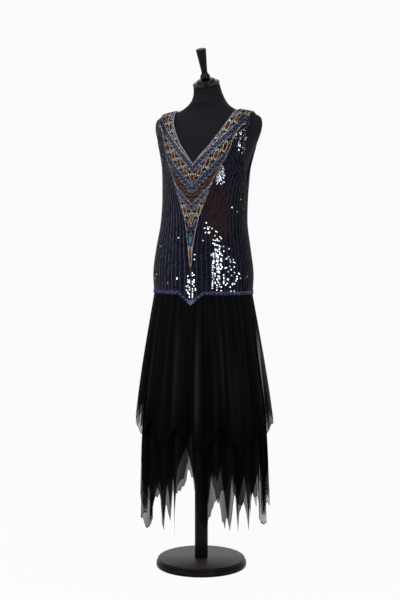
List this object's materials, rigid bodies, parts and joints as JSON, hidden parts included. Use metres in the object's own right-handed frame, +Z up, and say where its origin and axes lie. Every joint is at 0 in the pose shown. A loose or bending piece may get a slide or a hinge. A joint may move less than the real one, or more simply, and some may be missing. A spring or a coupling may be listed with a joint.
{
  "type": "beaded dropped-waist dress on a limbless dress form and stand",
  "caption": "Sleeveless V-neck beaded dress with a dropped waist and pointed chiffon skirt tiers, worn by a limbless dress form on a pole and round base.",
  "frame": {"origin": "centre of the stand base's underside, on the floor", "axes": "+Z up along the pole; -Y is the front of the dress; +X is to the right of someone who looks at the front"},
  "size_m": [0.4814, 0.3285, 1.7114],
  "materials": {
    "stand_paint": "satin",
    "cap_lacquer": "gloss lacquer",
    "form_jersey": "matte jersey",
    "bodice_sequins": "sequins and bugle beads",
    "panel_beads": "beaded",
    "piping_beads": "piping",
    "band_beads": "beaded",
    "skirt_chiffon": "sheer chiffon"
  },
  "bodies": {
    "root": {"stand_base": "stand_paint", "stand_pole": "stand_paint", "form_torso": "form_jersey", "neck_cap": "cap_lacquer", "finial": "cap_lacquer", "bodice_front": "bodice_sequins", "bodice_back": "bodice_sequins", "beaded_panel": "panel_beads", "neck_piping_front": "piping_beads", "neck_piping_back": "piping_beads", "hip_band_front": "band_beads", "hip_band_back": "band_beads", "upper_tier_front_left": "skirt_chiffon", "upper_tier_front_right": "skirt_chiffon", "upper_tier_back": "skirt_chiffon", "lower_tier_front_left": "skirt_chiffon", "lower_tier_front_right": "skirt_chiffon", "lower_tier_back": "skirt_chiffon"}
  },
  "joints": []
}
